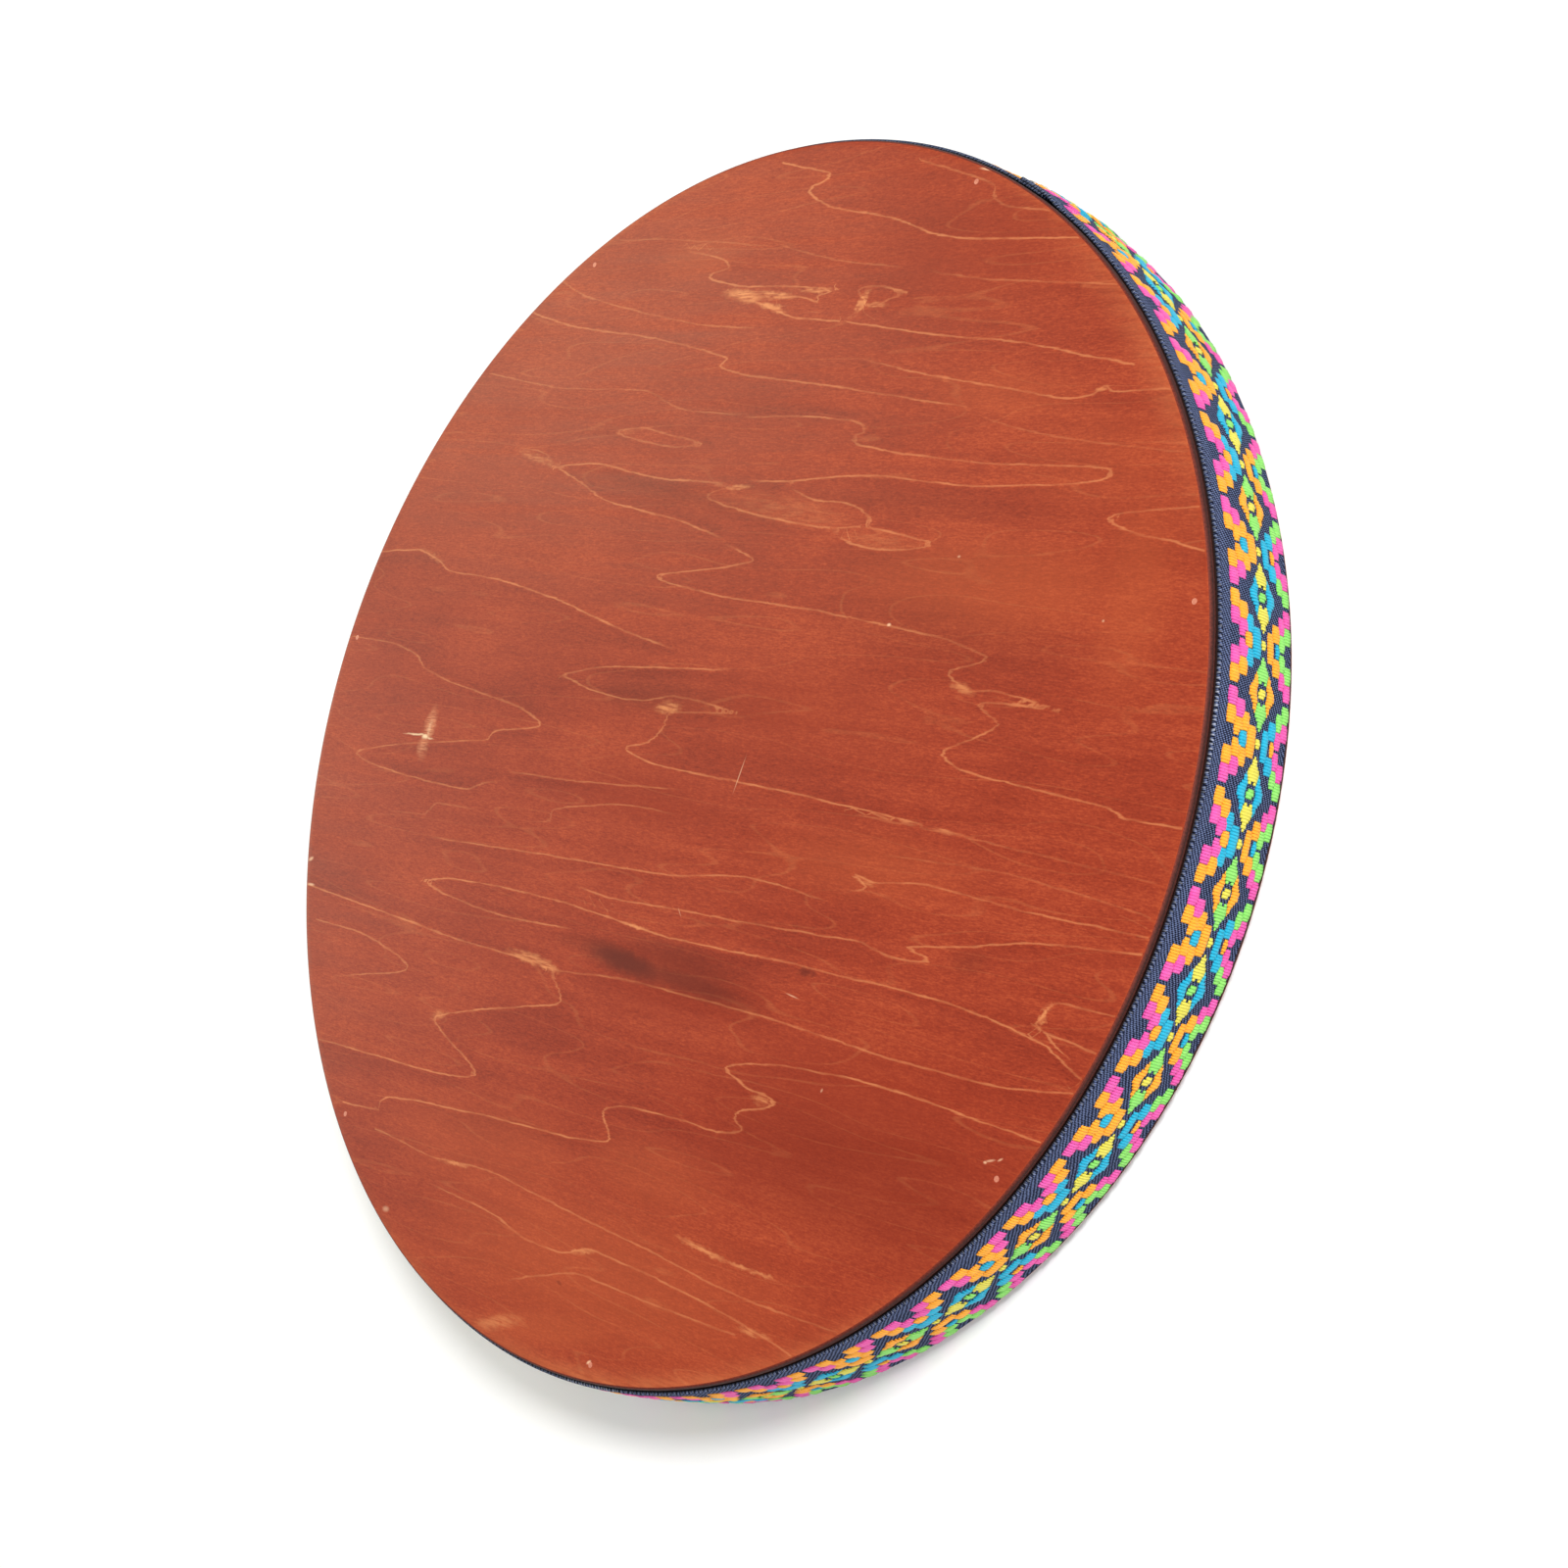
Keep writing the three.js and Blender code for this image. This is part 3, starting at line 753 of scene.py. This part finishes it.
def navyWeave():
    # Polyester ribbon ground in a navy rib: matt ribs run across the ribbon and show paler blue dashes.
    material, tree = newMaterial("woven navy rib")
    flat = addNode(tree, "UVMap", uv_map="clothMap")
    along, across = (addNode(tree, "SeparateXYZ", {0: flat}, output=axis) for axis in "XY")
    wander = addNode(tree, "TexNoise", {"Vector": flat, "Scale": 0.35, "Detail": 2.0})
    drift = addNode(tree, "Math", {0: wander, 1: 5.0}, operation="MULTIPLY")
    ribPhase = addNode(tree, "Math", {0: along, 1: 2 * math.pi / weave["ribs"], 2: drift},
                       operation="MULTIPLY_ADD")
    ribs = addNode(tree, "Math", {0: ribPhase}, operation="SINE")
    halfStep = addNode(tree, "Math", {0: along, 1: math.pi / weave["ribs"]}, operation="MULTIPLY")
    dashPhase = addNode(tree, "Math", {0: across, 1: 2 * math.pi / weave["dashes"], 2: halfStep},
                        operation="MULTIPLY_ADD")
    dashes = addNode(tree, "Math", {0: dashPhase}, operation="SINE")
    cloth = addNode(tree, "Math", {0: ribs, 1: dashes}, operation="MULTIPLY")
    cloth = addNode(tree, "Math", {0: cloth, 1: 0.5, 2: 0.5}, operation="MULTIPLY_ADD")
    speck = addNode(tree, "TexNoise", {"Vector": flat, "Scale": 1.5, "Detail": 2.0})
    tone = addNode(tree, "Math", {0: cloth, 1: 0.62}, operation="MULTIPLY")
    tone = addNode(tree, "Math", {0: speck, 1: 0.42, 2: tone}, operation="MULTIPLY_ADD")
    near = addNode(tree, "MapRange", {"Value": across, "From Min": 1.0, "From Max": 1.6})
    far = addNode(tree, "MapRange", {
        "Value": across, "From Min": 3.6, "From Max": 4.4, "To Min": 1, "To Max": 0})
    selvedge = addNode(tree, "Math", {0: near, 1: far}, operation="MULTIPLY")
    tone = addNode(tree, "Math", {0: selvedge, 1: 0.05, 2: tone}, operation="MULTIPLY_ADD")
    colour = addNode(tree, "ValToRGB", {"Fac": tone}, ramp=[
        (0.3, "#050915"), (0.5, "#141B35"), (0.74, "#626F93")])
    # painted shade: the ribbon's top is darkened to a fifth at its very near edge, for the shadow in the gap
    # between board and ribbon
    edge = addNode(tree, "MapRange", {"Value": across, "From Min": 0, "From Max": 0.25, "To Min": 0.2})
    colour = addNode(tree, "Mix", {0: 1.0, 6: colour, 7: edge}, data_type="RGBA", blend_type="MULTIPLY",
                     output=2)

    # the glue stitches on the near edge: pale, and clear only along two stretches
    offRow = addNode(tree, "Math", {0: across, 1: weave["stitchRow"]}, operation="SUBTRACT")
    offRow = addNode(tree, "Math", {0: offRow}, operation="ABSOLUTE")
    row = addNode(tree, "MapRange", {
        "Value": offRow, "From Min": 0.1, "From Max": 0.35, "To Min": 1, "To Max": 0})
    wavering = addNode(tree, "Math", {0: wander, 1: 9.0}, operation="MULTIPLY")
    spotPhase = addNode(tree, "Math", {0: along, 1: 2 * math.pi / weave["stitches"], 2: wavering},
                        operation="MULTIPLY_ADD")
    spots = addNode(tree, "Math", {0: spotPhase}, operation="SINE")
    spots = addNode(tree, "MapRange", {"Value": spots, "From Min": 0.1, "From Max": 0.9})
    glued = weave["faintStitches"]
    for stretch in weave["clearStitches"]:
        offStretch = addNode(tree, "Math", {0: along, 1: stretch}, operation="SUBTRACT")
        offStretch = addNode(tree, "Math", {0: offStretch}, operation="ABSOLUTE")
        clear = addNode(tree, "MapRange", {
            "Value": offStretch, "From Min": 10, "From Max": 20, "To Min": 0.7, "To Max": 0.0})
        glued = addNode(tree, "Math", {0: clear, 1: glued}, operation="MAXIMUM")
    spots = addNode(tree, "Math", {0: spots, 1: glued}, operation="MULTIPLY")
    stitch = addNode(tree, "Math", {0: spots, 1: row}, operation="MULTIPLY")
    colour = addNode(tree, "Mix", {0: stitch, 6: colour, 7: toLinear("#B8BCC8")}, data_type="RGBA",
                     output=2)
    bump = addNode(tree, "Bump", {"Height": cloth, "Strength": 0.6, "Distance": 0.25 * mm})
    addNode(tree, "OutputMaterial", {"Surface": addNode(tree, "BsdfPrincipled", {
        "Base Color": colour, "Roughness": 0.85, "Specular IOR Level": 0.12, "Normal": bump})})
    return material


ribbonPiece = makeRibbon()

# The pattern: raised floats of coloured thread. It repeats round the ribbon as a first axis, a diamond, a
# second axis and a second diamond. Distances in millimetres: along from the axis, across from the near edge.

pattern = {
    "repeats": 23,
    "firstAxis": 39.873,  # degrees, where one of the first axes lies
    "threadWidth": 0.86,
    "toothWidth": 1.15,  # the diamonds' edges step by this
    "height": 0.5,  # of the floats over the ground
    "diamondLength": 20.6,
    "diamondAcross": 12.1,
    "diamondCentre": 19.05,
    "eyeLength": 6.2,
    "eyeAcross": 4.8,
    "caps": 5.75,  # how far a diamond's caps reach along from its middle
    "eye": 1.4,
    "brickCorner": 0.3,  # by which a brick's outer threads are shorter
    "spotEdge": 10.7,  # where the bricks beside the first axis stop at the spot between them
    "spotReach": 2.2,
    "strandSpacing": 0.43,
}

# A float of both axes: from and to along the ribbon (each is mirrored to the other side of the axis, unless
# it lies across it), from and to across it, and its colour on the first and on the second axis
axisFloats = [
    (3.0, 8.0, 4.45, 8.45, "pink", "orange"),
    (8.05, 13.1, 4.45, 8.45, "orange", "pink"),
    (0.35, 5.35, 7.9, 11.95, "pink", "orange"),
    (5.4, 10.4, 7.9, 11.95, "orange", "pink"),
    (2.3, 7.4, 10.95, 14.4, "turquoise", "orange"),
    (-2.2, 2.2, 10.6, 14.0, "orange", "turquoise"),
    (-4.4, 4.4, 13.95, 17.85, "turquoise", "orange"),
    (-1.35, 1.35, 17.95, 20.15, "yellow", "yellow"),
    (-4.4, 4.4, 20.85, 23.85, "orange", "turquoise"),
    (2.3, 7.4, 23.4, 27.2, "orange", "turquoise"),
    (-2.1, 2.1, 24.9, 26.9, "turquoise", "orange"),
    (0.35, 5.3, 26.75, 29.8, "green", "pink"),
    (5.35, 10.4, 26.75, 29.8, "pink", "green"),
    (3.1, 8.1, 29.3, 32.6, "green", "pink"),
    (8.15, 13.1, 29.3, 32.6, "pink", "green"),
]
diamondColours = {1: ("orange", "green", "yellow"), 3: ("turquoise", "yellow", "green")}  # caps, tips, eye
threadColours = {
    "pink": ("#D6308C", "#F068B8"),
    "orange": ("#F08C10", "#FFB634"),
    "turquoise": ("#0094BA", "#20B8D8"),
    "green": ("#66C650", "#9CE472"),
    "yellow": ("#CEC02E", "#E6DE60"),
}

chance = np.random.default_rng(11)
# rows of along, width, from, to and the heights of the thread's left, middle and right
threads = {colour: [] for colour in threadColours}


def domed(share):
    # height of a float over its width: rounded down at both sides
    return 0.3 + 0.7 * (1 - abs(2 * share - 1) ** 2.6)


def addFloat(colour, start, end, middle, spans):
    # spans gives where the float's threads run at a distance along from the axis
    count = max(1, round((end - start) / pattern["threadWidth"]))
    width = (end - start) / count
    for number in range(count):
        offset = start + (number + 0.5) * width
        for low, high in spans(offset):
            if high - low < 0.35:
                continue
            low, high = low + chance.uniform(-0.1, 0.1), high + chance.uniform(-0.1, 0.1)
            heights = [domed((number + share) / count) for share in (0, 0.5, 1)]
            threads[colour].append((middle + offset, width, low, high, *heights))


def brickSpans(start, end, low, high):
    underSpot = start == 0.35 and low < 10  # the two bricks beside the axis

    def spans(offset):
        inward = min(offset - start, end - offset) / pattern["threadWidth"]
        corner = pattern["brickCorner"] if inward < 1 else 0
        stop = min(high, pattern["spotEdge"]) if underSpot and abs(offset) < pattern["spotReach"] else high
        return [(low + corner * 0.7, stop - corner)]
    return spans


def diamondSpans(part):
    length, across = pattern["diamondLength"] / 2, pattern["diamondAcross"] / 2
    eyeLength, eyeAcross = pattern["eyeLength"] / 2, pattern["eyeAcross"] / 2
    centre = pattern["diamondCentre"]

    def spans(offset):
        reach = abs((math.floor(offset / pattern["toothWidth"]) + 0.5) * pattern["toothWidth"])
        edge = across * (1 - reach / length) + 0.12
        hole = eyeAcross * math.sqrt(max(0, 1 - (offset / eyeLength) ** 2))
        split = 0.75 + 0.38 * reach
        if edge <= 0:
            return []
        if part == "caps":
            inner = max(split, hole)
            return [(centre - edge, centre - inner), (centre + inner, centre + edge)]
        if part == "tips":
            outer = min(split, edge)
            if hole <= 0:
                return [(centre - outer, centre + outer)]
            return [(centre - outer, centre - hole), (centre + hole, centre + outer)]
        leaf = 1.75 * math.sqrt(max(0, 1 - (offset / 1.5) ** 2))
        return [(centre - leaf - 0.3 * offset, centre + leaf - 0.3 * offset)]
    return spans


def mirrored(spans):
    return lambda offset: spans(-offset)


repeatLength = rimLength / pattern["repeats"]
firstAlong = math.radians(ribbon["endAngle"] - pattern["firstAxis"]) * ribbon["designRadius"]
for repeat in range(pattern["repeats"]):
    for quarter in range(4):
        middle = (firstAlong + (repeat + quarter / 4) * repeatLength) % rimLength
        if quarter in (0, 2):
            for start, end, low, high, *colours in axisFloats:
                colour = colours[quarter // 2]
                addFloat(colour, start, end, middle, brickSpans(start, end, low, high))
                if start > 0:
                    addFloat(colour, -end, -start, middle, mirrored(brickSpans(start, end, low, high)))
        else:
            caps, tips, eye = diamondColours[quarter]
            reach = pattern["diamondLength"] / 2
            addFloat(caps, -pattern["caps"], pattern["caps"], middle, diamondSpans("caps"))
            addFloat(tips, -reach, reach, middle, diamondSpans("tips"))
            addFloat(eye, -pattern["eye"], pattern["eye"], middle, diamondSpans("eye"))


def makeThreads(name, rows):
    # each float thread is a low closed ridge of four edges, rounded down at its two ends
    rows = np.array(rows)
    along, width, low, high, left, middle, right = (rows[:, i, None] for i in range(7))
    along = along % rimLength
    share = np.array([0.0, 0.14, 0.5, 0.86, 1.0])[None, :]
    rise = np.array([0.1, 0.78, 1.0, 0.78, 0.1])[None, :]
    across = low + (high - low) * share
    full = pattern["height"] * np.clip(0.55 + (high - low) / 5, 0.6, 1) * rise
    ground = groundHeight(across) + lapHeight(along)
    corners = np.stack([
        onRibbon(along - width * 0.51, across, ground + left * 0.92 * full),
        onRibbon(along + 0 * across, across, ground + middle * full),
        onRibbon(along + width * 0.51, across, ground + right * 0.92 * full),
        onRibbon(along + 0 * across, across, ground - 0.12 + 0 * full)], axis=2)
    count = len(rows)
    sides = [(station * 4 + side, station * 4 + (side + 1) % 4, station * 4 + (side + 1) % 4 + 4,
              station * 4 + side + 4) for station in range(4) for side in range(4)]
    ridge = np.array(sides + [(3, 2, 1, 0), (16, 17, 18, 19)])
    faces = ((np.arange(count) * 20)[:, None, None] + ridge[None]).reshape(-1, 4)
    piece = meshFromCorners(name, corners.reshape(-1, 3), [tuple(face) for face in faces.tolist()])
    sideways = np.tile(np.tile([-0.5, 0, 0.5, 0], 5), count) * np.repeat(width[:, 0], 20)
    addValues(piece, "threadTone", np.repeat(chance.random(count), 20))
    addValues(piece, "threadPlace", np.tile(np.repeat(share[0] * 2 - 1, 4), count))
    addValues(piece, "threadAlong", np.repeat(along[:, 0], 20) + sideways)
    addValues(piece, "threadAcross", np.repeat(across.ravel(), 4))
    return piece


def floatThread(name, deep, bright):
    # Trilobal polyester embroidery thread, floated over the ground: fat, soft and silky, with a little sheen.
    material, tree = newMaterial(name)
    along, across, endward, shade = (
        addNode(tree, "Attribute", attribute_name=carried, output="Fac")
        for carried in ("threadAlong", "threadAcross", "threadPlace", "threadTone"))
    # painted shade: each thread is darkened towards its two ends, where it dives into the ground
    ends = addNode(tree, "Math", {0: endward}, operation="ABSOLUTE")
    ends = addNode(tree, "Math", {0: ends, 1: 4.0}, operation="POWER")
    strands = addNode(tree, "Math", {0: along, 1: 2 * math.pi / pattern["strandSpacing"]},
                      operation="MULTIPLY")
    strands = addNode(tree, "Math", {0: strands}, operation="SINE")
    place = addNode(tree, "CombineXYZ", {"X": along, "Y": across})
    stretched = addNode(tree, "Mapping", {"Vector": place, "Scale": (4, 0.8, 1)})
    lint = addNode(tree, "TexNoise", {"Vector": stretched, "Scale": 1.0, "Detail": 2.0})
    tone = addNode(tree, "Math", {0: shade, 1: 0.2, 2: 0.2}, operation="MULTIPLY_ADD")
    tone = addNode(tree, "Math", {0: lint, 1: 0.6, 2: tone}, operation="MULTIPLY_ADD")
    tone = addNode(tree, "Math", {0: strands, 1: 0.06, 2: tone}, operation="MULTIPLY_ADD")
    tone = addNode(tree, "Math", {0: ends, 1: -0.35, 2: tone}, operation="MULTIPLY_ADD")
    colour = addNode(tree, "Mix", {0: tone, 6: toLinear(deep), 7: toLinear(bright)}, data_type="RGBA",
                     output=2)
    bump = addNode(tree, "Bump", {"Height": strands, "Strength": 0.2, "Distance": 0.08 * mm})
    addNode(tree, "OutputMaterial", {"Surface": addNode(tree, "BsdfPrincipled", {
        "Base Color": colour, "Roughness": 0.5, "Specular IOR Level": 0.3, "Normal": bump})})
    return material


for colour, rows in threads.items():
    piece = makeThreads(colour + "Floats", rows)
    finishPiece(piece, "woven_ribbon", floatThread(colour + " float thread", *threadColours[colour]))

# The cut end has come undone a little: thin pale strands lie over it

frayed = {
    "strands": 16,
    "starts": (-1.6, 1),  # along, from the ribbon's top end
    "ends": (2, 4.6),
    "across": (3.2, 11.5),
    "drift": (-1, 1),
    "lift": (0.1, 0.7),
    "thickness": 0.22,
    "stations": 6,
}


def makeFrayedEnd():
    places, faces = [], []
    for strand in range(frayed["strands"]):
        start, end, row, drift, lift = (
            chance.uniform(*frayed[span]) for span in ("starts", "ends", "across", "drift", "lift"))
        for station in range(frayed["stations"]):
            share = station / (frayed["stations"] - 1)
            across = row + drift * math.sin(2.5 * share)
            ground = float(groundHeight(np.array(across)))
            height = ground + ribbon["lapLift"] + lift * math.sin(math.pi * share)
            half = frayed["thickness"] / 2 * (1 - 0.6 * abs(2 * share - 1))
            for aside, rise in ((-half, 0), (0, half), (half, 0), (0, -half)):
                places.append(onRibbon(start + (end - start) * share, across + aside, height + rise))
        first = len(places) - 4 * frayed["stations"]
        faces += [(first + 3, first + 2, first + 1, first), tuple(range(len(places) - 4, len(places)))]
        for ring in range(first, len(places) - 4, 4):
            faces += [(ring + side, ring + (side + 1) % 4, ring + (side + 1) % 4 + 4, ring + side + 4)
                      for side in range(4)]
    return meshFromCorners("frayedEnd", places, faces)


def paleStrand():
    # Undyed polyester warp, spun fine: off-white and matt, a little uneven along its length.
    material, tree = newMaterial("undyed warp strand")
    place = addNode(tree, "TexCoord", output="Object")
    lint = addNode(tree, "TexNoise", {"Vector": place, "Scale": 1500.0, "Detail": 2.0})
    colour = addNode(tree, "ValToRGB", {"Fac": lint}, ramp=[(0.3, "#C8BCA8"), (0.7, "#F4ECE0")])
    bump = addNode(tree, "Bump", {"Height": lint, "Strength": 0.3, "Distance": 0.05 * mm})
    addNode(tree, "OutputMaterial", {"Surface": addNode(tree, "BsdfPrincipled", {
        "Base Color": colour, "Roughness": 0.8, "Specular IOR Level": 0.2, "Normal": bump})})
    return material


frayedEnd = makeFrayedEnd()
finishPiece(frayedEnd, "woven_ribbon", paleStrand())

finishPiece(ribbonPiece, "woven_ribbon", navyWeave(), "ribbon")


# Floor, world and lights

def paleFloor():
    # White-painted board, matt, far wider than the picture.
    material, tree = newMaterial("pale studio floor")
    addNode(tree, "OutputMaterial", {"Surface": addNode(tree, "BsdfPrincipled", {
        "Base Color": toLinear("#FFFFFF"), "Roughness": 0.9, "Specular IOR Level": 0.1})})
    return material


bpy.ops.object.select_all(action="DESELECT")
bpy.ops.mesh.primitive_plane_add(size=12)
floor = bpy.context.object
floor.name = "floor"
floor.data.materials.append(paleFloor())

world = bpy.data.worlds.new("studio")
world.use_nodes = True
world.node_tree.nodes["Background"].inputs["Color"].default_value = (1, 1, 1, 1)
world.node_tree.nodes["Background"].inputs["Strength"].default_value = 0.42
bpy.context.scene.world = world

studioLights = {  # place and target in metres, size in metres, watts, colour
    "keyLight": ((1.3, 0.75, 1.75), (0, 0, 0), 0.7, 38, (1, 1, 1)),
    "sheenLight": ((-1.05, 0.56, 0.8), (-0.1, 0.1, 0), 0.5, 2.95, (1, 0.94, 0.62)),
    "sideLight": ((-1.79, 0.09, 0.82), (-0.1, 0, 0), 0.8, 4.4, (0.9, 1, 0.78)),
    "frontLight": ((1.7, -0.7, 1.2), (0, 0, 0), 1.4, 18, (1, 1, 1)),
}
for name, (place, target, size, watts, colour) in studioLights.items():
    lamp = bpy.data.lights.new(name, "AREA")
    lamp.shape, lamp.size, lamp.energy, lamp.color = "DISK", size, watts, colour
    light = bpy.data.objects.new(name, lamp)
    bpy.context.scene.collection.objects.link(light)
    light.location = place
    light.rotation_euler = (Vector(target) - Vector(place)).to_track_quat("-Z", "Y").to_euler()
print("lit")
